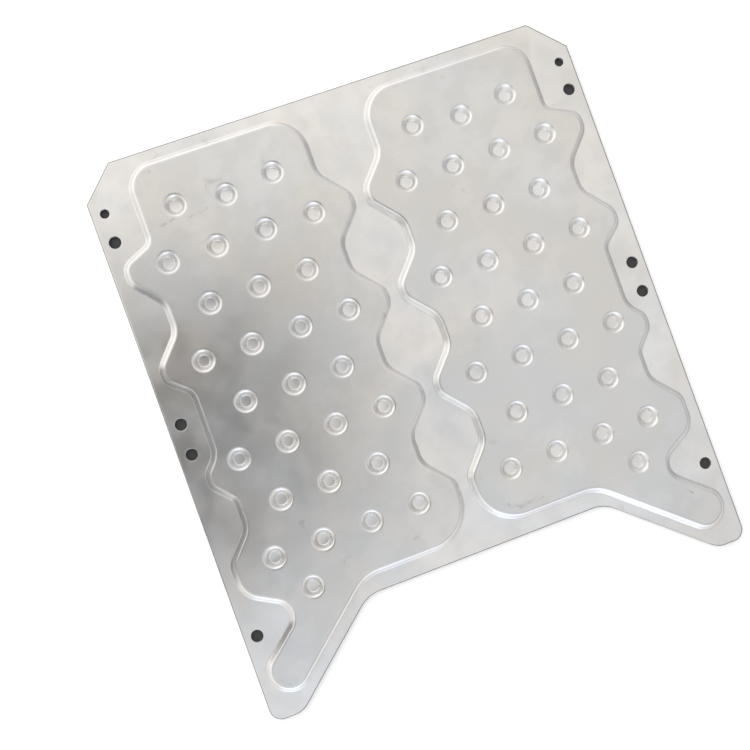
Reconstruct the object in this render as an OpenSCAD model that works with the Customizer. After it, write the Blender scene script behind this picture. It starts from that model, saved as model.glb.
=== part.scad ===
// Battery cooling plate: a stamped channel sheet brazed face to face onto a flat base sheet.
// The base sheet lies on z = 0, the channels stand up towards +Z and the two legs reach towards -Y.
// The origin is at the middle of the plate's outline, on the underside of the base sheet.

/* [Sheets] */
// Thickness of the stamped channel sheet
channel_sheet_t = 1.2; // [0.8:0.1:2]
// Thickness of the flat base sheet
base_sheet_t = 1.5; // [1:0.1:3]

/* [Pressed walls] */
// Clear height of the coolant channel under the raised pan
channel_h = 3.5; // [2.5:0.1:5]
// Slope of the pressed walls, from flat
wall_angle = 60; // [45:1:75]
// Inside radius of every press bend
bend_r = 1; // [0.6:0.1:1.4]

/* [Dimples] */
// Distance between neighbouring dimples in a row
dimple_pitch_x = 27.6; // [25:0.1:31]
// Distance between dimple rows
dimple_pitch_y = 28; // [26:0.1:31]
// Diameter of a dimple's flat foot
dimple_foot_d = 7.8; // [6:0.1:9]
// How far the middle dimple of the top row sits below its row
top_middle_drop = 3.3; // [0:0.1:5]
// Drop from the last row to the single dimple at the leg
leg_dimple_drop = 21.7; // [20:0.1:23]

/* [Channel outline] */
// Distance from the wall to the end dimple of each row
wall_margin = 22.5; // [20:0.1:25]
// Distance from the top wall to the top row
top_row_margin = 26; // [24:0.1:30]
// Distance from the last full row to the bottom wall
bottom_row_margin = 26.5; // [25:0.1:30]
// Straight length of the wall beside a row of four
bulge_flat = 8; // [7:0.1:10]
// Slope of the wave between bulge and waist, from the X axis
wave_angle = 48.5; // [45:0.5:51]
// Corner radius of the bulges
bulge_r = 8.5; // [6:0.1:9]
// Corner radius of the waists
waist_r = 13; // [8:0.1:15]
// Corner radius at the top, next to the centre land
top_inner_r = 18; // [12:0.5:22]
// Corner radius at the top, next to the plate's side
top_outer_r = 13.5; // [10:0.5:16]
// Corner radius at the bottom, next to the centre land
bottom_inner_r = 22.5; // [16:0.5:23]
// Corner radius of the steps beside the bolts
step_r = 6.5; // [5:0.1:8]
// Slope of the wall that leads from the last bulge to the leg, from the X axis
shoulder_angle = 29.5; // [27:0.5:32]
// Drop from the last full row to the corner below its bulge
shoulder_drop = 13.4; // [12:0.1:15]
// Corner radius where the leg's outer wall leaves the last bulge
shoulder_r = 13; // [8:0.5:14]
// Corner radius of the notch beside the leg bolt
neck_r = 9.5; // [6:0.5:11]
// Corner radius where the bottom wall turns into the leg
crotch_r = 22; // [15:0.5:26]

/* [Lands] */
// Flat land between the two channels at their bulges
centre_land = 9.2; // [7:0.1:14]
// Flat land from a bulge to the plate's side
side_land = 7.6; // [6:0.1:12]
// Flat land from the top wall to the top edge
top_land = 7.5; // [6:0.1:12]
// Flat land from the bottom wall to the bottom edge
bottom_land = 10.4; // [8:0.1:14]
// Flat land along the leg's inner edge
leg_land = 6.8; // [6:0.1:9]
// Flat land from the end of the leg's channel to the plate's side
leg_side_land = 6.6; // [5.5:0.1:8]
// Flat land from the end of the leg's channel to the leg's tip
leg_tip_land = 13; // [11:0.1:16]

/* [Plate edge] */
// Size of the two chamfers at the top corners
corner_chamfer = 18; // [12:0.5:20]
// How far the legs reach below the bottom edge
leg_drop = 45.6; // [44:0.1:50]
// Slope of the legs, from the X axis
leg_angle = 40.5; // [38:0.5:43]
// Width of the channel in a leg
leg_channel_w = 21.3; // [19:0.1:23]
// Radius of the corner between the bottom edge and a leg
notch_r = 20; // [10:0.5:26]
// Radius of a leg tip's outer corner
tip_outer_r = 6.5; // [4:0.1:8]
// Radius of a leg tip's inner corner
tip_inner_r = 12; // [6:0.5:14]

/* [Holes] */
// Diameter of the bolt holes
bolt_d = 6.6; // [5.5:0.1:7]
// Diameter of the two locating holes at the top
locating_d = 5; // [4:0.1:6]
// Distance from a hole's centre to the plate's side
hole_edge = 7; // [6:0.1:8]
// Distance between the locating hole and the upper bolt hole, which lie evenly about the top row
upper_hole_gap = 16.4; // [14:0.1:18]
// Distance between the two middle bolt holes, the first of which is level with the fifth row
middle_hole_gap = 17.1; // [15:0.1:19]
// Drop from the last full row to the leg's bolt hole
leg_hole_drop = 36.2; // [34:0.1:38]
// Distance from the upper holes to the channel's wall
upper_hole_margin = 17.7; // [16:0.1:19]
// Drop from the upper bolt hole to the wall's step below it
upper_step_drop = 6.8; // [5.5:0.1:8]
// Slope of that step, from the X axis
upper_step_angle = 24; // [21:0.5:27]
// Distance from the middle holes to the channel's wall
middle_hole_margin = 12.2; // [11:0.1:14]
// Slope of the wall's step above the middle holes, from the X axis
middle_step_angle = 41; // [38:0.5:44]
// How far the bulge below the middle holes is held back
held_bulge = 3.9; // [3:0.1:6]
// Drop from the sixth row to the top of that bulge
held_bulge_drop = 2.1; // [1:0.1:3]
// Straight length of that bulge
held_bulge_flat = 6.9; // [6:0.1:8]

/* [Coolant ports] */
// Diameter of the ports in the base sheet
port_d = 12; // [8:0.5:14]
// Distance from the top wall to the centre of the upper ports
port_drop = 13.5; // [12:0.1:15]

/* [Hidden] */

// Rows of dimples, counted from 0 at the top: even rows hold three, odd rows hold four
full_rows = 8;
row_half_counts = [1, 1.5];
// Rows that the holes and the outer wall's bulges are level with
upper_row = 1;
middle_row = 3;
middle_hole_row = 4;
held_row = 5;
last_row = full_rows - 1;
// Largest turn of one straight step round a corner of the wall and of the edge, in degrees
corner_step = 18;
edge_step = 6;
// Straight steps in a press bend
bend_steps = 3;
// Facets of the round parts, the overshoot of cuts and the reach of one stretch of sheet into the next
round_fn = 64;
cut = 1;
lap = 0.3;
// Share of a straight stretch that the corners at its two ends may take up together
corner_share = 0.98;

// Lobe sizes across the plate, from the dimple lattice
bulge_half_w = row_half_counts[1] * dimple_pitch_x + wall_margin;
waist_half_w = row_half_counts[0] * dimple_pitch_x + wall_margin;
lobe_x = centre_land / 2 + bulge_half_w;
plate_w = 2 * (lobe_x + bulge_half_w + side_land);
plate_l = top_land + top_row_margin + last_row * dimple_pitch_y
    + bottom_row_margin + bottom_land + leg_drop;

// Heights of the edges, the walls and the rows
top_edge_y = plate_l / 2;
leg_tip_y = -plate_l / 2;
bottom_edge_y = leg_tip_y + leg_drop;
top_wall_y = top_edge_y - top_land;
bottom_wall_y = bottom_edge_y + bottom_land;
function row_y(i) = top_wall_y - top_row_margin - i * dimple_pitch_y;

// Holes on the right half, each as [x, y, diameter]
hole_x = plate_w / 2 - hole_edge;
upper_hole_y = row_y(0) - upper_hole_gap / 2;
middle_hole_y = row_y(middle_hole_row);
lower_hole_y = middle_hole_y - middle_hole_gap;
holes = [
    [hole_x, row_y(0) + upper_hole_gap / 2, locating_d],
    [hole_x, upper_hole_y, bolt_d],
    [hole_x, middle_hole_y, bolt_d],
    [hole_x, lower_hole_y, bolt_d],
    [hole_x, row_y(last_row) - leg_hole_drop, bolt_d],
];

// The leg's direction, the normal that points into the channel, and the round end of its channel
leg_dir = [cos(leg_angle), -sin(leg_angle)];
leg_normal = [sin(leg_angle), cos(leg_angle)];
leg_end_r = leg_channel_w / 2;
leg_end = [plate_w / 2 - leg_side_land - leg_end_r, leg_tip_y + leg_tip_land + leg_end_r];
// Points on the line that runs along the leg, d inside its inner edge
function beside_leg(d) = leg_end + leg_normal * (d - leg_land - leg_end_r);
function on_leg(d, y) = beside_leg(d) + leg_dir * (beside_leg(d).y - y) / -leg_dir.y;

// Points and slopes of the channel's outer wall
outer_bulge_x = lobe_x + bulge_half_w;
outer_waist_x = lobe_x + waist_half_w;
inner_bulge_x = lobe_x - bulge_half_w;
inner_waist_x = lobe_x - waist_half_w;
upper_wall_x = hole_x - upper_hole_margin;
middle_wall_x = hole_x - middle_hole_margin;
held_bulge_x = outer_bulge_x - held_bulge;
upper_step_dir = [cos(upper_step_angle), -sin(upper_step_angle)];
shoulder_dir = [-cos(shoulder_angle), -sin(shoulder_angle)];
upper_step_y = upper_hole_y - upper_step_drop;
held_bulge_y = row_y(held_row) - held_bulge_drop;
held_bulge_end_y = held_bulge_y - held_bulge_flat;
shoulder_y = row_y(last_row) - shoulder_drop;
bulge_half = bulge_flat / 2;
// Rise of the wall's slope over a given run
function wave_rise(run) = run * tan(wave_angle);
outer_wave = wave_rise(outer_bulge_x - outer_waist_x);
inner_wave = wave_rise(inner_waist_x - inner_bulge_x);
middle_step = (outer_bulge_x - middle_wall_x) * tan(middle_step_angle);

// Where the line through p along u crosses the line through q along v
function crossing(p, u, q, v) = p + u * cross(q - p, v) / cross(u, v);

// The wall's middle line on the right lobe, counter-clockwise, as corners [x, y, radius]
function corner_at(p, r) = [p.x, p.y, r];
leg_corners = [
    corner_at(on_leg(leg_land, bottom_wall_y), crotch_r),
    corner_at(leg_end + (leg_dir - leg_normal) * leg_end_r, leg_end_r),
    corner_at(leg_end + (leg_dir + leg_normal) * leg_end_r, leg_end_r),
    corner_at(crossing([outer_bulge_x, shoulder_y], shoulder_dir,
        beside_leg(leg_land + leg_channel_w), leg_dir), neck_r),
];
outer_corners = [
    [outer_bulge_x, shoulder_y, shoulder_r],
    [outer_bulge_x, row_y(last_row) + bulge_half, bulge_r],
    [outer_waist_x, row_y(last_row) + bulge_half + outer_wave, waist_r],
    [outer_waist_x, held_bulge_end_y - wave_rise(held_bulge_x - outer_waist_x), step_r],
    [held_bulge_x, held_bulge_end_y, step_r],
    [held_bulge_x, held_bulge_y, step_r],
    [middle_wall_x, held_bulge_y + wave_rise(held_bulge_x - middle_wall_x), waist_r],
    [middle_wall_x, row_y(middle_row) - bulge_half - middle_step, bulge_r],
    [outer_bulge_x, row_y(middle_row) - bulge_half, step_r],
    [outer_bulge_x, row_y(middle_row) + bulge_half, bulge_r],
    [outer_waist_x, row_y(middle_row) + bulge_half + outer_wave, waist_r],
    [outer_waist_x, row_y(upper_row) - bulge_half - outer_wave, waist_r],
    [outer_bulge_x, row_y(upper_row) - bulge_half, bulge_r],
    corner_at(crossing([upper_wall_x, upper_step_y], upper_step_dir, [outer_bulge_x, 0], [0, 1]), step_r),
    [upper_wall_x, upper_step_y, step_r],
    [upper_wall_x, top_wall_y, top_outer_r],
];
// The inner wall waves past every row of four, from the top down to the last bulge
inner_corners = [
    [inner_waist_x, top_wall_y, top_inner_r],
    for (i = [upper_row:2:held_row]) each [
        [inner_waist_x, row_y(i) + bulge_half + inner_wave, waist_r],
        [inner_bulge_x, row_y(i) + bulge_half, bulge_r],
        [inner_bulge_x, row_y(i) - bulge_half, bulge_r],
        [inner_waist_x, row_y(i) - bulge_half - inner_wave, waist_r],
    ],
    [inner_waist_x, row_y(last_row) + bulge_half + inner_wave, waist_r],
    [inner_bulge_x, row_y(last_row) + bulge_half, bulge_r],
    [inner_bulge_x, bottom_wall_y, bottom_inner_r],
];
lobe_corners = concat(leg_corners, outer_corners, inner_corners);

// The plate's edge on the right half, from the bottom edge round to the top edge
edge_corners = [
    corner_at(on_leg(0, bottom_edge_y), notch_r),
    corner_at(on_leg(0, leg_tip_y), tip_inner_r),
    [plate_w / 2, leg_tip_y, tip_outer_r],
    [plate_w / 2, top_edge_y - corner_chamfer, 0],
    [plate_w / 2 - corner_chamfer, top_edge_y, 0],
];
mirrored_edge = [for (i = [len(edge_corners) - 1:-1:0])
    [-edge_corners[i].x, edge_corners[i].y, edge_corners[i].z]];

// The straight stretch that follows a corner, and the turn at a corner
function flat(p) = [p.x, p.y];
function unit(p) = p / norm(p);
function wrapped(corners, i) = (i + len(corners)) % len(corners);
function stretch(corners, i) = flat(corners[wrapped(corners, i + 1)]) - flat(corners[wrapped(corners, i)]);
function turn_at(corners, i) =
    let (a = unit(stretch(corners, i - 1)), b = unit(stretch(corners, i))) atan2(cross(a, b), a * b);
// How much of a stretch a corner's arc takes up, and how much of both ends' wishes the stretch can grant
function reach(corners, i) = corners[wrapped(corners, i)].z * tan(abs(turn_at(corners, i)) / 2);
function granted(corners, i) =
    let (wish = reach(corners, i) + reach(corners, i + 1))
    wish > 0 ? min(1, corner_share * norm(stretch(corners, i)) / wish) : 1;

// A corner list turned into points, each corner an arc; d moves the outline outwards
function corner_points(corners, i, step, d) =
    let (
        here = flat(corners[i]),
        a = unit(stretch(corners, i - 1)),
        turn = turn_at(corners, i),
        r = corners[i].z * min(granted(corners, i - 1), granted(corners, i)),
        side = sign(turn),
        start = here - a * r * tan(abs(turn) / 2),
        centre = start + side * r * [-a.y, a.x],
        steps = r > 0 ? ceil(abs(turn) / step) : 0,
        first = atan2(-side * a.x, side * a.y)
    )
    steps == 0 ? [here]
        : [for (k = [0:steps]) let (t = first + turn * k / steps)
            centre + (r + side * d) * [cos(t), sin(t)]];
function outline(corners, step, d = 0) =
    [for (i = [0:len(corners) - 1]) each corner_points(corners, i, step, d)];

// The pressed bend: two arcs about fixed centres with a straight wall between them
bend_sum = 2 * bend_r + channel_sheet_t;
wall_len = (channel_h - bend_sum * (1 - cos(wall_angle))) / sin(wall_angle);
press_run = bend_sum * sin(wall_angle) + wall_len * cos(wall_angle);
lower_centre = [0, channel_sheet_t + bend_r];
upper_centre = [press_run, channel_h - bend_r];
function bend_arc(centre, r, towards) =
    [for (k = [0:bend_steps]) let (t = wall_angle * k / bend_steps)
        centre + r * towards * [sin(t), -cos(t)]];
function reversed(list) = [for (i = [len(list) - 1:-1:0]) list[i]];
// Points [run, z] along the upper and lower faces of the sheet, from the low side to the high side
upper_face = concat(bend_arc(lower_centre, bend_r, 1),
    reversed(bend_arc(upper_centre, bend_r + channel_sheet_t, -1)));
lower_face = concat(bend_arc(lower_centre, bend_r + channel_sheet_t, 1),
    reversed(bend_arc(upper_centre, bend_r, -1)));
// Tongues by which the bend reaches into the flat sheet on either side, so that all of it is one piece
flat_tongue = [-lap, channel_sheet_t / 2];
pan_tongue = [press_run + lap, channel_h + channel_sheet_t / 2];
press_section = concat(lower_face, [pan_tongue], reversed(upper_face), [flat_tongue]);

// Dimple centres on the right lobe
dimple_foot_r = dimple_foot_d / 2;
dimple_rim_r = dimple_foot_r + press_run;
dimples = [
    for (i = [0:last_row]) let (half = row_half_counts[i % 2])
        for (k = [-half:half])
            [lobe_x + k * dimple_pitch_x, row_y(i) - (i == 0 && k == 0 ? top_middle_drop : 0)],
    [lobe_x + dimple_pitch_x, row_y(last_row) - leg_dimple_drop],
];

// Ports on the right half: the leg's end and the upper end of the lobe
ports = [leg_end, [lobe_x, top_wall_y - port_drop]];

module both_sides() {
    children();
    mirror([1, 0, 0])
        children();
}

// The plate's outline, shared by both sheets
module plate_face() {
    polygon(outline(concat(edge_corners, mirrored_edge), edge_step));
}

// Round cuts for every hole through a sheet that starts at z = 0
module hole_cuts(thickness) {
    both_sides()
        for (h = holes)
            translate([h.x, h.y, -cut])
                cylinder(d = h.z, h = thickness + 2 * cut, $fn = round_fn);
}

// The wavy wall of one lobe: the bent section carried along the outline
module lobe_wall() {
    rings = [for (p = press_section) outline(lobe_corners, corner_step, press_run / 2 - p.x)];
    n = len(rings[0]);
    m = len(rings);
    polyhedron(
        points = [for (j = [0:m - 1]) for (p = rings[j]) [p.x, p.y, press_section[j].y]],
        faces = [
            for (j = [0:m - 1]) let (up = (j + 1) % m)
                for (i = [0:n - 1]) let (on = (i + 1) % n)
                    [j * n + i, j * n + on, up * n + on, up * n + i]
        ]
    );
}

// One dimple: the same bent section turned about its axis, closed by a flat foot
module dimple() {
    rotate_extrude($fn = round_fn)
        polygon(concat(
            [[0, 0]],
            [for (p = concat(lower_face, [pan_tongue], reversed(upper_face))) p + [dimple_foot_r, 0]],
            [[0, channel_sheet_t]]
        ));
}

// The raised pan inside one lobe's wall, with its dimples pressed back down
module lobe_pan() {
    translate([0, 0, channel_h])
        linear_extrude(channel_sheet_t)
            difference() {
                polygon(outline(lobe_corners, corner_step, -press_run / 2));
                for (p = dimples)
                    translate(p)
                        circle(r = dimple_rim_r, $fn = round_fn);
            }
    for (p = dimples)
        translate(p)
            dimple();
}

// The flat flange and centre land round both lobes
module flange() {
    difference() {
        linear_extrude(channel_sheet_t)
            difference() {
                plate_face();
                both_sides()
                    polygon(outline(lobe_corners, corner_step, press_run / 2));
            }
        hole_cuts(channel_sheet_t);
    }
}

module channel_sheet() {
    color([0.80, 0.80, 0.79])
        translate([0, 0, base_sheet_t]) {
            flange();
            both_sides() {
                lobe_wall();
                lobe_pan();
            }
        }
}

module base_sheet() {
    color([0.72, 0.72, 0.72])
        difference() {
            linear_extrude(base_sheet_t)
                plate_face();
            hole_cuts(base_sheet_t);
            both_sides()
                for (p = ports)
                    translate([p.x, p.y, -cut])
                        cylinder(d = port_d, h = base_sheet_t + 2 * cut, $fn = round_fn);
        }
}

channel_sheet();
base_sheet();
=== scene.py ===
"""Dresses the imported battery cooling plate: a stamped sheet, a flat sheet and a plain studio.

The sheets are drawn in millimetres, as a press shop dimensions them, and scaled to metres once.
"""

import logging
import math
from dataclasses import dataclass, field
from enum import Enum
from typing import Sequence

import bmesh
import bpy
from mathutils import Euler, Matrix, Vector


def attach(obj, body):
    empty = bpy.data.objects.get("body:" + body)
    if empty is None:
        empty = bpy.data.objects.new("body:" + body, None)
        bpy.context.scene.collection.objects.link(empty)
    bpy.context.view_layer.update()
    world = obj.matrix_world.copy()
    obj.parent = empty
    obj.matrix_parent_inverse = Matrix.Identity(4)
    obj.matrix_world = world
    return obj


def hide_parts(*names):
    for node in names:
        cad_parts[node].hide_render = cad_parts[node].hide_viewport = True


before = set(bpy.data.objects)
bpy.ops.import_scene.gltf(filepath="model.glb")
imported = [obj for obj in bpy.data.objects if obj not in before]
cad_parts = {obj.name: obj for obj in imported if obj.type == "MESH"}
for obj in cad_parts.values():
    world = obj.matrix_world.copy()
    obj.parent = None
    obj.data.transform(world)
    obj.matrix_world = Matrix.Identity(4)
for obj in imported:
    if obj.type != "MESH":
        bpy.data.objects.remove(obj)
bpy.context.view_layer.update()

LOG = logging.getLogger("cooling_plate")
MM = 0.001
UP = Vector((0.0, 0.0, 1.0))
Rgba = tuple[float, float, float, float]
Socket = bpy.types.NodeSocket
Element = bmesh.types.BMVert | bmesh.types.BMEdge | bmesh.types.BMFace


class Side(Enum):
    """The half of the plate that a feature stands on."""

    RIGHT = 1
    LEFT = -1


class Slot(Enum):
    """The record's material slots."""

    CHANNEL = "channel_sheet"
    BASE = "base_sheet"


def grey(level: float) -> Rgba:
    """An opaque grey."""
    return (level, level, level, 1.0)


def toward(bearing: float, elevation: float) -> Vector:
    """The way from the plate's middle to a bearing and an elevation in degrees."""
    turn, lift = math.radians(bearing), math.radians(elevation)
    level = math.cos(lift)
    return Vector((math.cos(turn) * level, math.sin(turn) * level, math.sin(lift)))


def placed(bm: bmesh.types.BMesh, name: str) -> bpy.types.Object:
    """Makes an object of a drawing.

    Args:
        bm: the drawing, in metres. It is freed.
        name: the object's name.

    Returns:
        The object, at the origin.
    """
    mesh = bpy.data.meshes.new(name)
    bm.to_mesh(mesh)
    bm.free()
    made = bpy.data.objects.new(name, mesh)
    bpy.context.scene.collection.objects.link(made)
    return made


@dataclass(frozen=True)
class Corner:
    """One rounded corner of an outline, in millimetres."""

    x: float
    y: float
    r: float = 0.0

    @property
    def point(self) -> Vector:
        """The sharp corner's place."""
        return Vector((self.x, self.y))


@dataclass(frozen=True)
class Hole:
    """A round hole through a sheet, in millimetres."""

    x: float
    y: float
    d: float


@dataclass(frozen=True)
class PressedBend:
    """The bent section that every wall and dimple of the stamped sheet shares, in millimetres."""

    sheet_t: float = 1.2
    height: float = 3.5
    wall_angle: float = 60.0
    bend_r: float = 1.0
    arc_steps: int = 5

    @property
    def run(self) -> float:
        """Distance in plan from the foot of the bend to its top."""
        angle = math.radians(self.wall_angle)
        both = 2 * self.bend_r + self.sheet_t
        wall = (self.height - both * (1 - math.cos(angle))) / math.sin(angle)
        return both * math.sin(angle) + wall * math.cos(angle)

    def climb(self) -> list[tuple[float, float]]:
        """Steps of the upper face, from the foot to the top.

        Returns:
            The (run, rise) of each step.
        """
        steps = self.arc_steps
        angles = [math.radians(self.wall_angle) * k / steps for k in range(steps + 1)]
        outer_r = self.bend_r + self.sheet_t
        foot = [(self.bend_r * math.sin(a), self.bend_r * (1 - math.cos(a))) for a in angles]
        top = [(self.run - outer_r * math.sin(a), self.height - outer_r * (1 - math.cos(a)))
               for a in reversed(angles)]
        points = foot + top
        return [(b[0] - a[0], b[1] - a[1]) for a, b in zip(points, points[1:])]


@dataclass(frozen=True)
class DimpleLattice:
    """The staggered field of dimples in one lobe, in millimetres."""

    pitch_x: float = 27.6
    pitch_y: float = 28.0
    rows: int = 8
    foot_r: float = 2.8
    top_middle_drop: float = 3.3
    leg_drop: float = 21.7

    @staticmethod
    def half_count(row: int) -> float:
        """Pitches from a row's middle to its end dimple: even rows hold three, odd rows four."""
        return 1.0 if row % 2 == 0 else 1.5


@dataclass(frozen=True)
class PlateForm:
    """The plate's outline, its lobes, its dimples and its holes, in millimetres."""

    lattice: DimpleLattice = field(default_factory=DimpleLattice)
    wall_margin: float = 22.5
    top_row_margin: float = 26.0
    bottom_row_margin: float = 26.5
    bulge_flat: float = 8.0
    wave_angle: float = 48.5
    bulge_r: float = 8.5
    waist_r: float = 13.0
    top_inner_r: float = 18.0
    top_outer_r: float = 13.5
    bottom_inner_r: float = 22.5
    step_r: float = 6.5
    shoulder_angle: float = 29.5
    shoulder_drop: float = 13.4
    shoulder_r: float = 13.0
    neck_r: float = 9.5
    crotch_r: float = 22.0
    centre_land: float = 9.2
    side_land: float = 7.6
    top_land: float = 7.5
    bottom_land: float = 10.4
    leg_land: float = 6.8
    leg_side_land: float = 6.6
    leg_tip_land: float = 13.0
    corner_chamfer: float = 18.0
    leg_reach: float = 45.6
    leg_angle: float = 40.5
    leg_channel_w: float = 21.3
    notch_r: float = 20.0
    tip_outer_r: float = 6.5
    tip_inner_r: float = 12.0
    bolt_d: float = 6.6
    locating_d: float = 5.0
    hole_edge: float = 7.0
    upper_hole_gap: float = 16.4
    middle_hole_gap: float = 17.1
    leg_hole_drop: float = 36.2
    upper_hole_margin: float = 17.7
    upper_step_drop: float = 6.8
    upper_step_angle: float = 24.0
    middle_hole_margin: float = 12.2
    middle_step_angle: float = 41.0
    held_bulge: float = 3.9
    held_bulge_drop: float = 2.1
    held_bulge_flat: float = 6.9
    port_d: float = 12.0
    port_drop: float = 13.5
    upper_row: int = 1
    middle_row: int = 3
    middle_hole_row: int = 4
    held_row: int = 5

    @property
    def last_row(self) -> int:
        """Number of the lowest full row of dimples, counted from 0 at the top."""
        return self.lattice.rows - 1

    @property
    def bulge_half_w(self) -> float:
        """Half the width of a lobe at a row of four."""
        return self.lattice.half_count(1) * self.lattice.pitch_x + self.wall_margin

    @property
    def waist_half_w(self) -> float:
        """Half the width of a lobe at a row of three."""
        return self.lattice.half_count(0) * self.lattice.pitch_x + self.wall_margin

    @property
    def lobe_x(self) -> float:
        """The right lobe's middle line."""
        return self.centre_land / 2 + self.bulge_half_w

    @property
    def half_w(self) -> float:
        """Half the plate's width."""
        return self.lobe_x + self.bulge_half_w + self.side_land

    @property
    def half_l(self) -> float:
        """Half the plate's length, legs included."""
        rows = self.last_row * self.lattice.pitch_y
        above = self.top_land + self.top_row_margin
        below = self.bottom_row_margin + self.bottom_land + self.leg_reach
        return (above + rows + below) / 2

    @property
    def top_wall_y(self) -> float:
        """The lobes' top wall."""
        return self.half_l - self.top_land

    @property
    def bottom_edge_y(self) -> float:
        """The plate's edge between the legs."""
        return self.leg_reach - self.half_l

    @property
    def hole_x(self) -> float:
        """The middle line of the right-hand holes."""
        return self.half_w - self.hole_edge

    @property
    def upper_hole_y(self) -> float:
        """The upper bolt hole."""
        return self.row_y(0) - self.upper_hole_gap / 2

    @property
    def leg_end_r(self) -> float:
        """Radius of the round end of a leg's channel."""
        return self.leg_channel_w / 2

    @property
    def leg_end(self) -> Vector:
        """Centre of the round end of the right leg's channel."""
        return Vector((self.half_w - self.leg_side_land - self.leg_end_r,
                       self.leg_tip_land + self.leg_end_r - self.half_l))

    @property
    def leg_dir(self) -> Vector:
        """The way that the right leg points."""
        angle = math.radians(self.leg_angle)
        return Vector((math.cos(angle), -math.sin(angle)))

    @property
    def leg_normal(self) -> Vector:
        """The way from the right leg's inner edge into its channel."""
        angle = math.radians(self.leg_angle)
        return Vector((math.sin(angle), math.cos(angle)))

    def row_y(self, row: int) -> float:
        """Height of a row of dimples in plan."""
        return self.top_wall_y - self.top_row_margin - row * self.lattice.pitch_y

    def beside_leg(self, inside: float) -> Vector:
        """A point of the line that runs along the right leg, that far inside its inner edge."""
        return self.leg_end + self.leg_normal * (inside - self.leg_land - self.leg_end_r)

    def on_leg(self, inside: float, y: float) -> Vector:
        """The point of that line at a given height in plan."""
        start = self.beside_leg(inside)
        return start + self.leg_dir * ((start.y - y) / -self.leg_dir.y)

    def wave_rise(self, run: float) -> float:
        """Rise of the wavy wall's slope over a run."""
        return run * math.tan(math.radians(self.wave_angle))

    @staticmethod
    def crossing(p: Vector, u: Vector, q: Vector, v: Vector) -> Vector:
        """Where the line through p along u meets the line through q along v."""
        gap = q - p
        return p + u * (gap.cross(v) / u.cross(v))

    def leg_corners(self) -> list[Corner]:
        """The wall's corners round the right leg.

        Returns:
            The corners, counter-clockwise.
        """
        end, r = self.leg_end, self.leg_end_r
        angle = math.radians(self.shoulder_angle)
        shoulder = Vector((self.lobe_x + self.bulge_half_w,
                           self.row_y(self.last_row) - self.shoulder_drop))
        slope = Vector((-math.cos(angle), -math.sin(angle)))
        outer_line = self.beside_leg(self.leg_land + self.leg_channel_w)
        neck = self.crossing(shoulder, slope, outer_line, self.leg_dir)
        crotch = self.on_leg(self.leg_land, self.bottom_edge_y + self.bottom_land)
        inner_tip = end + (self.leg_dir - self.leg_normal) * r
        outer_tip = end + (self.leg_dir + self.leg_normal) * r
        return [
            Corner(crotch.x, crotch.y, self.crotch_r),
            Corner(inner_tip.x, inner_tip.y, r),
            Corner(outer_tip.x, outer_tip.y, r),
            Corner(neck.x, neck.y, self.neck_r),
            Corner(shoulder.x, shoulder.y, self.shoulder_r),
        ]

    def outer_corners(self) -> list[Corner]:
        """The wall's corners beside the plate's right side, from the last bulge up.

        Returns:
            The corners, counter-clockwise.
        """
        half = self.bulge_flat / 2
        bulge = self.lobe_x + self.bulge_half_w
        waist = self.lobe_x + self.waist_half_w
        wave = self.wave_rise(bulge - waist)
        held = bulge - self.held_bulge
        held_y = self.row_y(self.held_row) - self.held_bulge_drop
        held_end = held_y - self.held_bulge_flat
        middle = self.hole_x - self.middle_hole_margin
        middle_rise = (bulge - middle) * math.tan(math.radians(self.middle_step_angle))
        upper = self.hole_x - self.upper_hole_margin
        step_y = self.upper_hole_y - self.upper_step_drop
        step_fall = (bulge - upper) * math.tan(math.radians(self.upper_step_angle))
        last, mid, top = (self.row_y(i) for i in (self.last_row, self.middle_row, self.upper_row))
        return [
            Corner(bulge, last + half, self.bulge_r),
            Corner(waist, last + half + wave, self.waist_r),
            Corner(waist, held_end - self.wave_rise(held - waist), self.step_r),
            Corner(held, held_end, self.step_r),
            Corner(held, held_y, self.step_r),
            Corner(middle, held_y + self.wave_rise(held - middle), self.waist_r),
            Corner(middle, mid - half - middle_rise, self.bulge_r),
            Corner(bulge, mid - half, self.step_r),
            Corner(bulge, mid + half, self.bulge_r),
            Corner(waist, mid + half + wave, self.waist_r),
            Corner(waist, top - half - wave, self.waist_r),
            Corner(bulge, top - half, self.bulge_r),
            Corner(bulge, step_y - step_fall, self.step_r),
            Corner(upper, step_y, self.step_r),
            Corner(upper, self.top_wall_y, self.top_outer_r),
        ]

    def inner_corners(self) -> list[Corner]:
        """The wall's corners beside the centre land, from the top down.

        Returns:
            The corners, counter-clockwise.
        """
        half = self.bulge_flat / 2
        bulge = self.lobe_x - self.bulge_half_w
        waist = self.lobe_x - self.waist_half_w
        wave = self.wave_rise(waist - bulge)
        corners = [Corner(waist, self.top_wall_y, self.top_inner_r)]
        for row in range(self.upper_row, self.last_row, 2):
            y = self.row_y(row)
            corners += [
                Corner(waist, y + half + wave, self.waist_r),
                Corner(bulge, y + half, self.bulge_r),
                Corner(bulge, y - half, self.bulge_r),
                Corner(waist, y - half - wave, self.waist_r),
            ]
        last = self.row_y(self.last_row)
        corners += [
            Corner(waist, last + half + wave, self.waist_r),
            Corner(bulge, last + half, self.bulge_r),
            Corner(bulge, self.bottom_edge_y + self.bottom_land, self.bottom_inner_r),
        ]
        return corners

    def lobe_corners(self) -> list[Corner]:
        """The right lobe's whole wall, counter-clockwise."""
        return self.leg_corners() + self.outer_corners() + self.inner_corners()

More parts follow.
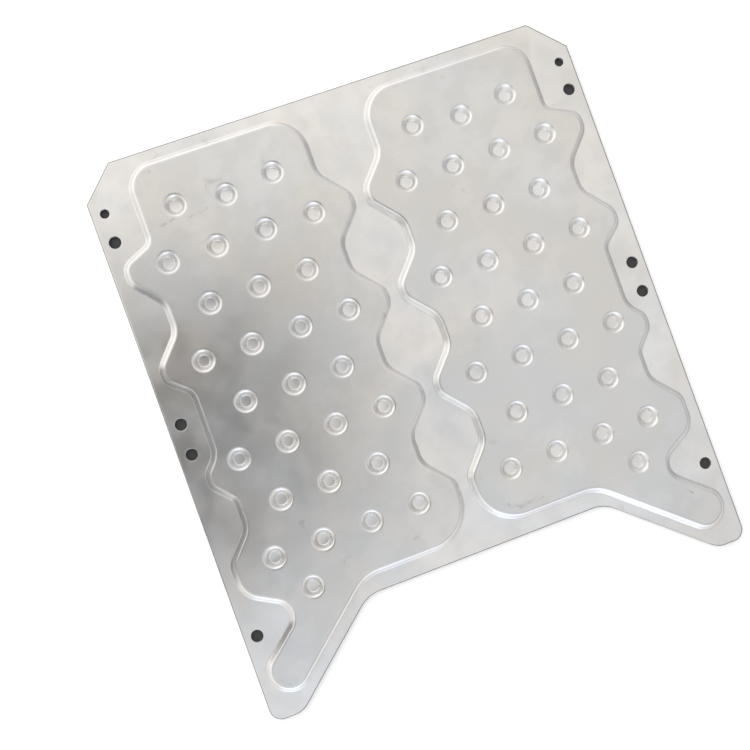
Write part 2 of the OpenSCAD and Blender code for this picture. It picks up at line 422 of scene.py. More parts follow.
    def edge_corners(self) -> list[Corner]:
        """The plate's edge.

        Returns:
            The corners of the right half and then of the left half, counter-clockwise.
        """
        notch = self.on_leg(0.0, self.bottom_edge_y)
        tip = self.on_leg(0.0, -self.half_l)
        right = [
            Corner(notch.x, notch.y, self.notch_r),
            Corner(tip.x, tip.y, self.tip_inner_r),
            Corner(self.half_w, -self.half_l, self.tip_outer_r),
            Corner(self.half_w, self.half_l - self.corner_chamfer),
            Corner(self.half_w - self.corner_chamfer, self.half_l),
        ]
        return right + [Corner(-c.x, c.y, c.r) for c in reversed(right)]

    def dimples(self) -> list[Vector]:
        """The dimples' centres in the right lobe."""
        places = []
        for row in range(self.lattice.rows):
            half = self.lattice.half_count(row)
            for k in range(int(2 * half) + 1):
                lowered = self.lattice.top_middle_drop if row == 0 and k == half else 0.0
                places.append(Vector((self.lobe_x + (k - half) * self.lattice.pitch_x,
                                      self.row_y(row) - lowered)))
        leg_dimple = Vector((self.lobe_x + self.lattice.pitch_x,
                             self.row_y(self.last_row) - self.lattice.leg_drop))
        return places + [leg_dimple]

    def holes(self) -> list[Hole]:
        """The bolt and locating holes that go through both sheets."""
        middle = self.row_y(self.middle_hole_row)
        right = [
            (self.row_y(0) + self.upper_hole_gap / 2, self.locating_d),
            (self.upper_hole_y, self.bolt_d),
            (middle, self.bolt_d),
            (middle - self.middle_hole_gap, self.bolt_d),
            (self.row_y(self.last_row) - self.leg_hole_drop, self.bolt_d),
        ]
        return [Hole(side.value * self.hole_x, y, d) for side in Side for y, d in right]

    def ports(self) -> list[Hole]:
        """The coolant ports in the base sheet."""
        end = self.leg_end
        upper_y = self.top_wall_y - self.port_drop
        right = [(end.x, end.y), (self.lobe_x, upper_y)]
        return [Hole(side.value * x, y, self.port_d) for side in Side for x, y in right]


class SheetBench:
    """A bmesh in millimetres on which one sheet is drawn, pressed, filled and made an object."""

    corner_step = math.radians(5.0)
    corner_share = 0.98
    hole_segments = 40
    edge_segments = 2
    edge_angle = math.radians(60.0)

    def __init__(self) -> None:
        """Starts an empty sheet."""
        self.bm = bmesh.new()

    def _radii(self, corners: Sequence[Corner]) -> list[tuple[float, float]]:
        """Works out each corner's turn and the radius that its stretches leave room for.

        Args:
            corners: an outline's corners, counter-clockwise.

        Returns:
            The (turn, radius) of each corner, the turn in radians.
        """
        count = len(corners)
        stretches = [corners[(i + 1) % count].point - corners[i].point for i in range(count)]
        turns = []
        for i in range(count):
            a, b = stretches[i - 1], stretches[i]
            turns.append(math.atan2(a.cross(b), a.dot(b)))
        reach = [c.r * math.tan(abs(t) / 2) for c, t in zip(corners, turns)]
        granted = []
        for i in range(count):
            wish = reach[i] + reach[(i + 1) % count]
            room = self.corner_share * stretches[i].length
            granted.append(min(1.0, room / wish) if wish > 0 else 1.0)
        return [(turns[i], corners[i].r * min(granted[i - 1], granted[i])) for i in range(count)]

    def outline(self, corners: Sequence[Corner], z: float,
                outward: float = 0.0) -> bmesh.types.BMFace:
        """Draws a closed outline, each corner an arc, and fills it with one face that looks up.

        Args:
            corners: the outline's corners, counter-clockwise.
            z: its height.
            outward: how far the outline is moved outwards.

        Returns:
            The face.
        """
        before = set(self.bm.edges)
        chains = []
        for i, (turn, r) in enumerate(self._radii(corners)):
            here = corners[i].point
            a = (here - corners[i - 1].point).normalized()
            side = math.copysign(1.0, turn)
            normal = Vector((-a.y, a.x)) * side
            start = here - a * (r * math.tan(abs(turn) / 2))
            centre = start + normal * r
            first = self.bm.verts.new((*(centre - normal * (r + side * outward)), z))
            last = first
            if r > 0 or outward > 0:
                spun = bmesh.ops.spin(
                    self.bm, geom=[first], cent=(*centre, z), axis=UP, angle=turn,
                    steps=math.ceil(abs(turn) / self.corner_step),
                )
                last = next(g for g in spun["geom_last"] if isinstance(g, bmesh.types.BMVert))
            chains.append((first, last))
        for i, (_, last) in enumerate(chains):
            self.bm.edges.new((last, chains[(i + 1) % len(chains)][0]))
        edges = [e for e in self.bm.edges if e not in before]
        face = bmesh.ops.edgeloop_fill(self.bm, edges=edges)["faces"][0]
        return self._facing_up(face)

    def disc(self, x: float, y: float, z: float, r: float) -> bmesh.types.BMFace:
        """Draws a round face that looks up.

        Args:
            x: its centre across the plate.
            y: its centre along the plate.
            z: its height.
            r: its radius.

        Returns:
            The face.
        """
        made = bmesh.ops.create_circle(
            self.bm, cap_ends=True, segments=self.hole_segments, radius=r)
        bmesh.ops.translate(self.bm, verts=made["verts"], vec=(x, y, z))
        return self._facing_up(made["verts"][0].link_faces[0])

    @staticmethod
    def _facing_up(face: bmesh.types.BMFace) -> bmesh.types.BMFace:
        """The face, turned over if it looked down."""
        face.normal_update()
        if face.normal.z < 0:
            face.normal_flip()
        return face

    def inset(self, face: bmesh.types.BMFace, run: float,
              rise: float = 0.0) -> list[bmesh.types.BMEdge]:
        """Insets a face by one step, leaving a ring of faces round it.

        Args:
            face: the face, which becomes the smaller inner one.
            run: how far its edge moves inwards.
            rise: how far it moves up.

        Returns:
            The ring's free outer edges.
        """
        made = bmesh.ops.inset_individual(
            self.bm, faces=[face], thickness=run, depth=rise, use_even_offset=True)
        face.normal_update()
        return [e for f in made["faces"] for e in f.edges if e.is_boundary]

    def open(self, face: bmesh.types.BMFace) -> list[bmesh.types.BMEdge]:
        """Takes a face out and gives the edges round the gap."""
        edges = list(face.edges)
        bmesh.ops.delete(self.bm, geom=[face], context="FACES_ONLY")
        return edges

    def punch(self, hole: Hole, z: float, border: float) -> list[bmesh.types.BMEdge]:
        """Draws a round hole with a flat ring round it.

        Args:
            hole: the hole.
            z: the sheet's upper face.
            border: the ring's width.

        Returns:
            The ring's outer edges, for the fill round it.
        """
        face = self.disc(hole.x, hole.y, z, hole.d / 2 + border)
        outer = self.inset(face, border)
        self.open(face)
        return outer

    def fill(self, edges: Sequence[bmesh.types.BMEdge]) -> None:
        """Fills a flat field between closed loops of edges."""
        bmesh.ops.triangle_fill(
            self.bm, use_beauty=True, use_dissolve=False, edges=list(edges), normal=UP)

    def finish(self, name: str, thickness: float, edge_r: float) -> bpy.types.Object:
        """Makes the object: one skin, thickened downwards, with its cut edges broken.

        Args:
            name: the piece's name.
            thickness: the sheet's thickness.
            edge_r: size of the broken edge.

        Returns:
            The object, at the origin, in metres.
        """
        for face in self.bm.faces:
            face.smooth = True
        bmesh.ops.recalc_face_normals(self.bm, faces=self.bm.faces[:])
        if sum(f.normal.z * f.calc_area() for f in self.bm.faces) < 0:
            bmesh.ops.reverse_faces(self.bm, faces=self.bm.faces[:])
        bmesh.ops.scale(self.bm, vec=(MM, MM, MM), verts=self.bm.verts[:])
        piece = placed(self.bm, name)
        shell = piece.modifiers.new("thickness", "SOLIDIFY")
        shell.thickness = thickness * MM
        shell.offset = -1.0
        shell.use_even_offset = True
        shell.use_quality_normals = True
        broken = piece.modifiers.new("broken edge", "BEVEL")
        broken.width = edge_r * MM
        broken.segments = self.edge_segments
        broken.limit_method = "ANGLE"
        broken.angle_limit = self.edge_angle
        return piece


class NodeDesk:
    """A material's or a world's node tree, with short calls to add and join nodes."""

    colour_inputs = (0, 6, 7)
    colour_output = 2

    def __init__(self, tree: bpy.types.NodeTree) -> None:
        """Starts from an empty tree."""
        self.tree = tree
        tree.nodes.clear()

    def feed(self, socket: Socket, value: object) -> None:
        """Gives a socket its value, or joins it to another node's socket."""
        if isinstance(value, Socket):
            self.tree.links.new(value, socket)
        else:
            socket.default_value = value

    def add(self, kind: str, inputs: dict | None = None, **settings: object) -> bpy.types.Node:
        """Adds a node.

        Args:
            kind: the node's type.
            inputs: values of its sockets, or sockets of other nodes that feed them.
            settings: the node's own properties.

        Returns:
            The node.
        """
        node = self.tree.nodes.new(kind)
        for key, value in settings.items():
            setattr(node, key, value)
        for key, value in (inputs or {}).items():
            self.feed(node.inputs[key], value)
        return node

    def calc(self, operation: str, first: Socket, second: Socket, clamp: bool = False) -> Socket:
        """Joins two values by an operation, held within 0..1 if asked."""
        inputs = {0: first, 1: second}
        node = self.add("ShaderNodeMath", inputs, operation=operation, use_clamp=clamp)
        return node.outputs[0]

    def vector(self, operation: str, first: object, second: object,
               output: str = "Vector") -> Socket:
        """Joins two vectors by an operation and gives its vector, or its value."""
        node = self.add("ShaderNodeVectorMath", {0: first, 1: second}, operation=operation)
        return node.outputs[output]

    def noise(self, where: Socket, scale: float, detail: float = 3.0) -> Socket:
        """A noise's factor at a place, with its scale in features per metre."""
        inputs = {"Vector": where, "Scale": scale, "Detail": detail}
        return self.add("ShaderNodeTexNoise", inputs).outputs["Fac"]

    def spread(self, value: Socket, low: float, high: float, start: float, end: float) -> Socket:
        """Maps a value from low..high to start..end, smoothly and within those ends."""
        inputs = {"Value": value, "From Min": low, "From Max": high, "To Min": start, "To Max": end}
        node = self.add("ShaderNodeMapRange", inputs, interpolation_type="SMOOTHSTEP")
        return node.outputs["Result"]

    def mix(self, amount: float | Socket, first: object, second: object,
            blend: str = "MIX") -> Socket:
        """Mixes two colours."""
        node = self.add("ShaderNodeMix", data_type="RGBA", blend_type=blend)
        for index, value in zip(self.colour_inputs, (amount, first, second)):
            self.feed(node.inputs[index], value)
        return node.outputs[self.colour_output]


@dataclass(frozen=True)
class Mottle:
    """Soft blots of something, drawn by a noise with its scale in features per metre."""

    scale: float
    detail: float
    low: float
    high: float
    most: float = 1.0
    least: float = 0.0

    def amount(self, desk: NodeDesk, where: Socket) -> Socket:
        """The amount at a place: the least at the noise's low level, the most at its high one."""
        noise = desk.noise(where, self.scale, self.detail)
        return desk.spread(noise, self.low, self.high, self.least, self.most)


@dataclass(frozen=True)
class Scratch:
    """A short straight mark on a sheet, in millimetres."""

    start: tuple[float, float]
    end: tuple[float, float]
    width: float
    strength: float

    def amount(self, desk: NodeDesk, where: Socket) -> Socket:
        """Works out how strong the mark is at a place.

        Args:
            desk: the material's node tree.
            where: the place, in metres and with no height.

        Returns:
            The strength there, 0 beside the mark.
        """
        start = Vector((*self.start, 0.0)) * MM
        along = Vector((*self.end, 0.0)) * MM - start
        gone = desk.vector("SUBTRACT", where, start)
        share = desk.vector("DOT_PRODUCT", gone, along / along.length_squared, "Value")
        held = desk.add("ShaderNodeClamp", {"Value": share}).outputs["Result"]
        foot = desk.add("ShaderNodeVectorMath", {0: along, "Scale": held}, operation="SCALE")
        apart = desk.vector("DISTANCE", gone, foot.outputs["Vector"], "Value")
        return desk.spread(apart, 0.0, self.width * MM / 2, self.strength, 0.0)


@dataclass(frozen=True)
class Finish:
    """A named look, drawn on a piece's own coordinates."""

    name: str

    def material(self) -> bpy.types.Material:
        """Builds the node material.

        Returns:
            The material.
        """
        made = bpy.data.materials.new(self.name)
        made.use_nodes = True
        desk = NodeDesk(made.node_tree)
        where = desk.add("ShaderNodeTexCoord").outputs["Object"]
        desk.add("ShaderNodeOutputMaterial", {"Surface": self.surface(desk, where)})
        return made

    def surface(self, desk: NodeDesk, where: Socket) -> Socket:
        """The finish's shader at a place. Each finish has its own."""
        raise NotImplementedError


@dataclass(frozen=True)
class SatinAluminium(Finish):
    """Rolled aluminium sheet after brazing.

    It is a soft satin with clouds, stains and scratches. The walls between the flange and the pan
    get a near-white colour, a painted highlight along them, and the pan is duller than the flange.
    """

    bright: Rgba
    dull: Rgba
    grime: Rgba
    stain: Rgba = (0.64, 0.64, 0.595, 1.0)
    # painted highlight: a near-white colour laid on the walls and their bends
    wall_highlight: Rgba = (0.985, 0.98, 0.975, 1.0)
    warm: Rgba = (1.0, 0.980, 0.955, 1.0)
    cool: Rgba = (0.970, 0.985, 1.0, 1.0)
    scratches: tuple[Scratch, ...] = ()
    clouds: Mottle = Mottle(14.0, 4.0, 0.35, 0.68, most=0.45)
    smudges: Mottle = Mottle(85.0, 4.0, 0.38, 0.66, most=0.32)
    tints: Mottle = Mottle(22.0, 3.0, 0.35, 0.65)
    stains: Mottle = Mottle(48.0, 3.0, 0.60, 0.78, most=0.45)
    spots: Mottle = Mottle(95.0, 6.0, 0.68, 0.82, most=0.5)
    breaks: Mottle = Mottle(380.0, 3.0, 0.40, 0.62, most=1.0, least=0.1)
    roughness: Mottle = Mottle(40.0, 5.0, 0.3, 0.7, most=0.36, least=0.28)
    pan_dulling: float = 0.6
    pan_mm: tuple[float, float] = (3.6, 5.8)
    wall_highlight_level: float = 0.7
    wall_mm: tuple[float, float] = (2.72, 6.17)
    wall_blend_mm: float = 0.25
    wave_scale: float = 26.0
    wave_depth_mm: float = 0.10
    line_scales: tuple[float, float, float] = (900.0, 14.0, 300.0)
    line_depth_mm: float = 0.02
    line_strength: float = 0.25
    relief_detail: float = 2.0

    def _metal(self, desk: NodeDesk, where: Socket, height: Socket) -> Socket:
        """The sheet's own colour, with the dull pan, clouds, tints and stains."""
        pan = desk.spread(height, self.pan_mm[0] * MM, self.pan_mm[1] * MM, 0.0, self.pan_dulling)
        patchy = desk.calc("ADD", self.clouds.amount(desk, where), self.smudges.amount(desk, where))
        metal = desk.mix(desk.calc("ADD", pan, patchy, clamp=True), self.bright, self.dull)
        tint = desk.mix(self.tints.amount(desk, where), self.warm, self.cool)
        tinted = desk.mix(1.0, metal, tint, "MULTIPLY")
        return desk.mix(self.stains.amount(desk, where), tinted, self.stain)

    def _wall_highlight_mask(self, desk: NodeDesk, height: Socket) -> Socket:
        """How much painted wall highlight a height gets: none on the flange and the pan, full
        between them.
        """
        low, high, blend = (v * MM for v in (*self.wall_mm, self.wall_blend_mm))
        above = desk.spread(height, low, low + blend, 0.0, self.wall_highlight_level)
        below = desk.spread(height, high - blend, high, 1.0, 0.0)
        return desk.calc("MULTIPLY", above, below)

    def _marked(self, desk: NodeDesk, where: Socket, colour: Socket) -> Socket:
        """The colour with spots of grime and broken scratches over it."""
        colour = desk.mix(self.spots.amount(desk, where), colour, self.grime)
        flat = desk.vector("MULTIPLY", where, (1.0, 1.0, 0.0))
        breaks = self.breaks.amount(desk, where)
        for scratch in self.scratches:
            broken = desk.calc("MULTIPLY", scratch.amount(desk, flat), breaks)
            colour = desk.mix(broken, colour, self.grime)
        return colour

    def _relief(self, desk: NodeDesk, where: Socket) -> Socket:
        """The normal of long shallow waves with fine rolling lines over them."""
        waves = desk.add("ShaderNodeBump", {
            "Strength": 1.0,
            "Distance": self.wave_depth_mm * MM,
            "Height": desk.noise(where, self.wave_scale, self.relief_detail),
        })
        rolled = desk.add("ShaderNodeMapping", {"Vector": where, "Scale": self.line_scales})
        lines = desk.add("ShaderNodeBump", {
            "Strength": self.line_strength,
            "Distance": self.line_depth_mm * MM,
            "Height": desk.noise(rolled.outputs["Vector"], 1.0, self.relief_detail),
            "Normal": waves.outputs["Normal"],
        })
        return lines.outputs["Normal"]

    def surface(self, desk: NodeDesk, where: Socket) -> Socket:
        """The metal at a place.

        Args:
            desk: the material's node tree.
            where: the place on the sheet, in metres.

        Returns:
            The shader.
        """
        height = desk.add("ShaderNodeSeparateXYZ", {"Vector": where}).outputs["Z"]
        metal = self._metal(desk, where, height)
        # painted highlight: the walls' colour is pulled towards near-white
        highlighted = desk.mix(self._wall_highlight_mask(desk, height), metal, self.wall_highlight)
        shader = desk.add("ShaderNodeBsdfPrincipled", {
            "Base Color": self._marked(desk, where, highlighted),
            "Metallic": 1.0,
            "Roughness": self.roughness.amount(desk, where),
            "Normal": self._relief(desk, where),
        })
        return shader.outputs["BSDF"]


@dataclass(frozen=True)
class MattePaint(Finish):
    """A plain matte paint with a faint mottle."""

    dark: Rgba
    light: Rgba
    mottle_scale: float
    roughness: float

    def surface(self, desk: NodeDesk, where: Socket) -> Socket:
        """The paint at a place, between its two tones."""
        tone = desk.mix(desk.noise(where, self.mottle_scale), self.dark, self.light)
        inputs = {"Base Color": tone, "Roughness": self.roughness}
        return desk.add("ShaderNodeBsdfPrincipled", inputs).outputs["BSDF"]


@dataclass(frozen=True)
class FlagCloth(Finish):
    """A dull cloth that thins out across the plate, between two places in millimetres."""

    tone: Rgba
    thins: tuple[float, float] = (-160.0, 60.0)

    def surface(self, desk: NodeDesk, where: Socket) -> Socket:
        """The cloth at a place, mixed with clear air where it thins out."""
        across = desk.add("ShaderNodeSeparateXYZ", {"Vector": where}).outputs["X"]
        thin = desk.spread(across, self.thins[0] * MM, self.thins[1] * MM, 0.0, 1.0)
        cloth = desk.add("ShaderNodeBsdfDiffuse", {"Color": self.tone}).outputs["BSDF"]
        clear = desk.add("ShaderNodeBsdfTransparent").outputs["BSDF"]
        return desk.add("ShaderNodeMixShader", {0: thin, 1: cloth, 2: clear}).outputs["Shader"]


@dataclass
class ChannelSheet:
    """The stamped sheet: flange, two wavy lobes and their dimples, at one thickness."""

    form: PlateForm
    bend: PressedBend
    finish: SatinAluminium
    base_t: float
    border: float = 0.4
    edge_r: float = 0.15
    name: str = "stamped_channel_sheet"

    @property
    def flange_z(self) -> float:
        """The flange's upper face."""
        return self.base_t + self.bend.sheet_t

    def _dimple(self, bench: SheetBench) -> list[Element]:
        """Presses one dimple at the origin.

        Args:
            bench: the sheet in work.

        Returns:
            The dimple's vertices, edges and faces.
        """
        before = set(bench.bm.faces)
        rim_r = self.form.lattice.foot_r + self.bend.run + self.border
        face = bench.disc(0.0, 0.0, self.flange_z + self.bend.height, rim_r)
        bench.inset(face, self.border)
        for run, rise in reversed(self.bend.climb()):
            bench.inset(face, run, -rise)
        faces = [f for f in bench.bm.faces if f not in before]
        corners = {v for f in faces for v in f.verts}
        edges = {e for f in faces for e in f.edges}
        return list(corners | edges) + faces

    def _lobe(self, bench: SheetBench) -> tuple[list[bmesh.types.BMEdge], list[Element]]:
        """Presses the right lobe with its wall, pan and dimples.

        Args:
            bench: the sheet in work, still empty.

        Returns:
            The edges round the lobe's foot and all of the lobe's geometry.
        """
        pattern = self._dimple(bench)
        rims = []
        for place in self.form.dimples():
            copy = bmesh.ops.duplicate(bench.bm, geom=pattern)["geom"]
            verts = [g for g in copy if isinstance(g, bmesh.types.BMVert)]
            bmesh.ops.translate(bench.bm, verts=verts, vec=(*place, 0.0))
            rims += [g for g in copy if isinstance(g, bmesh.types.BMEdge) and g.is_boundary]
        spare = [g for g in pattern if isinstance(g, bmesh.types.BMVert)]
        bmesh.ops.delete(bench.bm, geom=spare, context="VERTS")
        outward = self.bend.run / 2 + self.border
        face = bench.outline(self.form.lobe_corners(), self.flange_z, outward)
        foot = bench.inset(face, self.border)
        for run, rise in self.bend.climb():
            bench.inset(face, run, rise)
        bench.inset(face, self.border)
        bench.fill(bench.open(face) + rims)
        return foot, bench.bm.verts[:] + bench.bm.edges[:] + bench.bm.faces[:]

    def build(self) -> bpy.types.Object:
        """Builds the sheet's mesh.

        Returns:
            The piece.
        """
        bench = SheetBench()
        foot, lobe = self._lobe(bench)
        copy = bmesh.ops.duplicate(bench.bm, geom=lobe)
        twin = copy["geom"]
        mirrored = [g for g in twin if isinstance(g, bmesh.types.BMVert)]
        bmesh.ops.scale(bench.bm, vec=(-1.0, 1.0, 1.0), verts=mirrored)
        turned = [g for g in twin if isinstance(g, bmesh.types.BMFace)]
        bmesh.ops.reverse_faces(bench.bm, faces=turned)
        field_edges = foot + [copy["edge_map"][e] for e in foot]
        for hole in self.form.holes():
            field_edges += bench.punch(hole, self.flange_z, self.border)
        face = bench.outline(self.form.edge_corners(), self.flange_z)
        bench.inset(face, self.border)
        bench.fill(field_edges + bench.open(face))
        return bench.finish(self.name, self.bend.sheet_t, self.edge_r)

    def dress(self, piece: bpy.types.Object) -> None:
        """Gives the piece its finish and its place in the frame."""
        piece.data.materials.append(self.finish.material())
        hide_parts("channel_sheet")
        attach(piece, "root")


@dataclass
class BaseSheet:
    """The flat sheet under the channels, with the coolant ports."""

    form: PlateForm
    finish: SatinAluminium
    thickness: float = 1.5
    border: float = 0.4
    edge_r: float = 0.15
    name: str = "flat_base_sheet"

    def build(self) -> bpy.types.Object:
        """Builds the sheet's mesh.

        Returns:
            The piece.
        """
        bench = SheetBench()
        field_edges = []
        for hole in self.form.holes() + self.form.ports():
            field_edges += bench.punch(hole, self.thickness, self.border)
        face = bench.outline(self.form.edge_corners(), self.thickness)
        bench.inset(face, self.border)
        bench.fill(field_edges + bench.open(face))
        return bench.finish(self.name, self.thickness, self.edge_r)

    def dress(self, piece: bpy.types.Object) -> None:
        """Gives the piece its finish and its place in the frame."""
        piece.data.materials.append(self.finish.material())
        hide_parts("base_sheet")
        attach(piece, "root")


@dataclass(frozen=True)
class SoftBox:
    """A large soft light, placed by its bearing from the plate's middle, its size in metres."""

    name: str
    bearing: float
    elevation: float
    distance: float
    size: tuple[float, float]
    power: float
    colour: tuple[float, float, float]
    mirrored: bool = True

    def build(self) -> None:
        """Hangs the light so that it looks at the plate."""
        lamp = bpy.data.lights.new(self.name, "AREA")
        lamp.shape = "RECTANGLE"
        lamp.size, lamp.size_y = self.size
        lamp.energy = self.power
        lamp.color = self.colour
        held = bpy.data.objects.new(self.name, lamp)
        away = toward(self.bearing, self.elevation)
        held.location = away * self.distance
        held.rotation_euler = away.to_track_quat("Z", "Y").to_euler()
        held.visible_glossy = self.mirrored
        bpy.context.scene.collection.objects.link(held)


@dataclass(frozen=True)
class RoomPatch:
    """A brighter or dimmer patch of the room round the plate, its place and size in degrees."""

    bearing: float
    elevation: float
    core: float
    fade: float
    tone: Rgba

    def over(self, desk: NodeDesk, way: Socket, below: object) -> Socket:
        """Lays the patch over the room's tone.

        Args:
            desk: the world's node tree.
            way: the direction looked in.
            below: the tone so far.

        Returns:
            The tone with the patch.
        """
        near = desk.vector("DOT_PRODUCT", way, toward(self.bearing, self.elevation), "Value")
        apart = desk.add("ShaderNodeMath", {0: near}, operation="ARCCOSINE").outputs[0]
        amount = desk.spread(apart, math.radians(self.core), math.radians(self.fade), 1.0, 0.0)
        return desk.mix(amount, below, self.tone)


@dataclass(frozen=True)
class Flag:
    """A studio card that shows only as a soft shade in the metal, placed in millimetres."""

    name: str
    middle: tuple[float, float, float]
    size: tuple[float, float]
    tilt: float
    tone: Rgba

    def build(self) -> None:
        """Hangs the card, tilted about the plate's long axis."""
        bm = bmesh.new()
        bmesh.ops.create_grid(bm, x_segments=1, y_segments=1, size=0.5)
        bmesh.ops.scale(bm, vec=(self.size[0] * MM, self.size[1] * MM, 1.0), verts=bm.verts[:])
        hung = Euler((0.0, math.radians(self.tilt), 0.0)).to_matrix()
        bmesh.ops.rotate(bm, matrix=hung, verts=bm.verts[:])
        bmesh.ops.translate(bm, verts=bm.verts[:], vec=Vector(self.middle) * MM)
        card = placed(bm, self.name)
        card.visible_camera = False
        card.visible_diffuse = False
        card.visible_shadow = False
        card.data.materials.append(FlagCloth(self.name, self.tone).material())


@dataclass
class Studio:
    """The pale floor, the soft light and the camera."""

    camera_mm: tuple[float, float, float] = (-81.18, -3.47, 546.51)
    camera_deg: tuple[float, float, float] = (2.351, -5.361, -20.035)
    lens_mm: float = 48.0
    sensor_mm: float = 36.0
    clip_m: float = 0.01
    floor_m: float = 8.0
    floor_z_mm: float = -0.4
    floor_paint: MattePaint = MattePaint("pale_floor", grey(0.90), grey(0.93), 3.0, 0.8)
    card_z_mm: float = -0.2
    # painted shade: a near-black card under the plate, its rim a painted contact shadow
    contact_shadow_rim_mm: float = 0.25
    painted_shade_paint: MattePaint = MattePaint(
        "painted_shade_card", (0.045, 0.045, 0.046, 1.0), (0.065, 0.065, 0.066, 1.0), 60.0, 0.9)
    room_tone: Rgba = (0.935, 0.919, 0.891, 1.0)
    patches: tuple[RoomPatch, ...] = (
        RoomPatch(105.0, 73.0, 4.0, 30.0, (1.02, 0.99, 0.948, 1.0)),
        RoomPatch(275.0, 70.0, 4.0, 30.0, (0.90, 0.93, 0.98, 1.0)),
        RoomPatch(114.0, 27.0, 34.0, 52.0, (1.26, 1.23, 1.20, 1.0)),
        RoomPatch(260.0, 26.0, 12.0, 38.0, (1.03, 1.10, 1.22, 1.0)),
        RoomPatch(0.0, 12.0, 15.0, 52.0, (0.41, 0.41, 0.42, 1.0)),
        RoomPatch(50.0, 8.0, 12.0, 36.0, (0.68, 0.68, 0.69, 1.0)),
        RoomPatch(305.0, 48.0, 9.0, 20.0, (0.40, 0.40, 0.42, 1.0)),
    )
    boxes: tuple[SoftBox, ...] = (
        SoftBox("window_box", 130.0, 36.0, 1.5, (1.2, 0.9), 4.5, (1.0, 0.98, 0.95), False),
        SoftBox("cool_box", 250.0, 15.0, 1.4, (0.9, 0.4), 1.0, (0.82, 0.91, 1.0)),
        SoftBox("floor_wash", 115.0, 70.0, 2.0, (1.5, 1.5), 9.0, (1.0, 1.0, 1.0), False),
    )
    flags: tuple[Flag, ...] = (
        Flag("top_flag", (-105.0, 15.0, 560.0), (330.0, 300.0), 0.0, grey(0.05)),
        Flag("left_flag", (-450.0, -60.0, 560.0), (350.0, 250.0), 0.0, grey(0.33)),
        Flag("side_flag", (-180.0, -10.0, 27.0), (60.0, 150.0), 90.0, grey(0.28)),
    )

    def _floor(self) -> None:
        """Lays the pale floor."""
        bm = bmesh.new()
        bmesh.ops.create_grid(bm, x_segments=1, y_segments=1, size=self.floor_m / 2)
        bmesh.ops.translate(bm, verts=bm.verts[:], vec=UP * (self.floor_z_mm * MM))
        floor = placed(bm, "floor")
        floor.data.materials.append(self.floor_paint.material())

    def _painted_shade_card(self, form: PlateForm, plate_top: float) -> None:
        """Lays a dark card under the plate, which stands in for the shade there.

        The holes show it as painted shade, and its rim, sized to the camera, paints a thin contact
        shadow round the edge.

        Args:
            form: the plate's form.
            plate_top: height of the plate's upper edge, which hides the card from the camera but
                for the rim.
        """
        bench = SheetBench()
        bench.outline(form.edge_corners(), self.card_z_mm, self.contact_shadow_rim_mm)
        eye = Vector(self.camera_mm)
        hidden = (eye.z - self.card_z_mm) / (eye.z - plate_top)
        verts = bench.bm.verts[:]
        bmesh.ops.scale(bench.bm, vec=(hidden, hidden, 1.0), verts=verts)
        bmesh.ops.translate(bench.bm, vec=(*(eye.xy * (1 - hidden)), 0.0), verts=verts)
        bmesh.ops.scale(bench.bm, vec=(MM, MM, MM), verts=verts)
        # painted shade: the card shows through the holes and as a thin contact line at the edge
        card = placed(bench.bm, "painted_shade_card")
        card.data.materials.append(self.painted_shade_paint.material())

    def _room(self) -> None:
        """Sets the room's own light: pale all round, with brighter and dimmer patches."""
        world = bpy.data.worlds.new("room")
        world.use_nodes = True
        bpy.context.scene.world = world
        desk = NodeDesk(world.node_tree)
        way = desk.add("ShaderNodeTexCoord").outputs["Generated"]
        tone: Rgba | Socket = self.room_tone
        for patch in self.patches:
            tone = patch.over(desk, way, tone)
        light = desk.add("ShaderNodeBackground", {"Color": tone, "Strength": 1.0})
        desk.add("ShaderNodeOutputWorld", {"Surface": light.outputs["Background"]})

    def _camera(self) -> None:
        """Sets the camera over the plate."""
        lens = bpy.data.cameras.new("camera")
        lens.lens = self.lens_mm
        lens.sensor_width = self.sensor_mm
        lens.clip_start = self.clip_m
        held = bpy.data.objects.new("camera", lens)
        held.location = Vector(self.camera_mm) * MM
        held.rotation_euler = Euler([math.radians(a) for a in self.camera_deg])
        bpy.context.scene.collection.objects.link(held)
        bpy.context.scene.camera = held

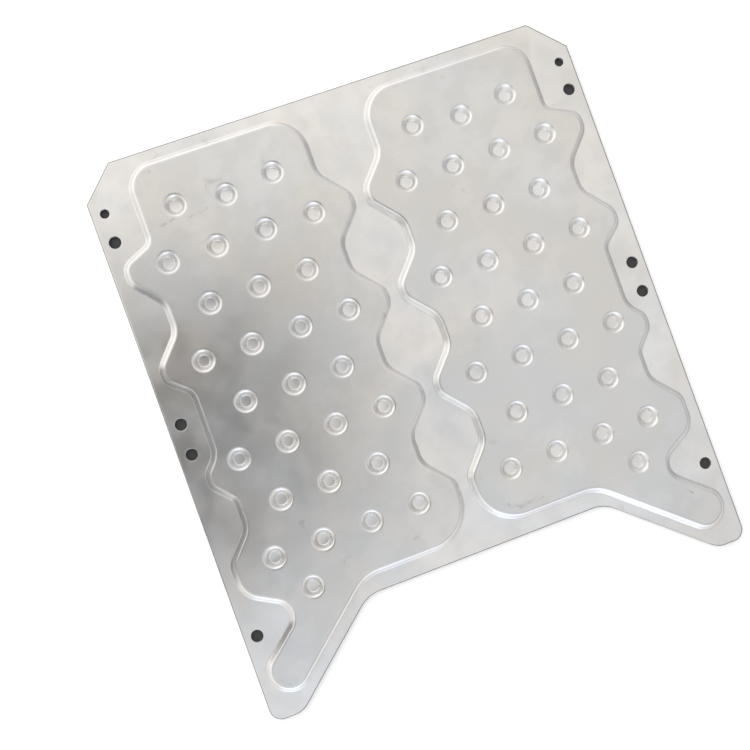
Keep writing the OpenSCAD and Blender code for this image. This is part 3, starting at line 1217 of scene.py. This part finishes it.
    def build(self, form: PlateForm, flange_z: float) -> None:
        """Sets up the studio round a plate with that form and that height of its flange."""
        self._floor()
        self._painted_shade_card(form, flange_z)
        self._room()
        for light in self.boxes + self.flags:
            light.build()
        self._camera()
        bpy.context.scene.view_settings.view_transform = "Standard"


def main() -> None:
    """Builds the plate and its studio."""
    logging.basicConfig(level=logging.INFO, format="%(name)s: %(message)s")
    form = PlateForm()
    pressed = SatinAluminium(
        name="satin_pressed_aluminium",
        bright=(0.845, 0.836, 0.827, 1.0),
        dull=(0.69, 0.686, 0.677, 1.0),
        grime=(0.40, 0.39, 0.38, 1.0),
        scratches=(
            Scratch((-92.0, 113.5), (-80.5, 115.4), 2.2, 0.50),
            Scratch((-106.5, 114.2), (-98.5, 115.8), 3.0, 0.45),
            Scratch((-76.5, 129.0), (-69.0, 127.5), 6.0, 0.35),
            Scratch((-77.3, 127.7), (-77.2, 123.0), 2.4, 0.45),
            Scratch((-77.2, 123.0), (-75.2, 120.0), 2.2, 0.45),
            Scratch((19.0, -91.7), (24.3, -94.9), 4.0, 0.40),
            Scratch((24.3, -94.9), (38.5, -93.8), 4.0, 0.40),
            Scratch((-129.3, -135.2), (-124.2, -140.0), 2.4, 0.40),
            Scratch((-124.2, -140.0), (-119.5, -137.9), 2.0, 0.40),
            Scratch((-36.0, -90.5), (-33.5, -90.0), 3.0, 0.45),
            Scratch((116.6, -119.6), (118.3, -121.1), 1.4, 1.0),
            Scratch((118.3, -121.1), (119.4, -122.9), 1.1, 0.9),
        ),
    )
    flat = SatinAluminium(
        name="satin_flat_aluminium",
        bright=(0.86, 0.855, 0.84, 1.0),
        dull=(0.74, 0.735, 0.73, 1.0),
        grime=(0.50, 0.49, 0.48, 1.0),
        pan_dulling=0.0,
    )
    base = BaseSheet(form, flat)
    channel = ChannelSheet(form, PressedBend(), pressed, base.thickness)
    for sheet in (channel, base):
        piece = sheet.build()
        sheet.dress(piece)
        LOG.info("%s: %d faces before its thickness", piece.name, len(piece.data.polygons))
    Studio().build(form, channel.flange_z)
    LOG.info("studio ready")


if __name__ == "__main__":
    main()
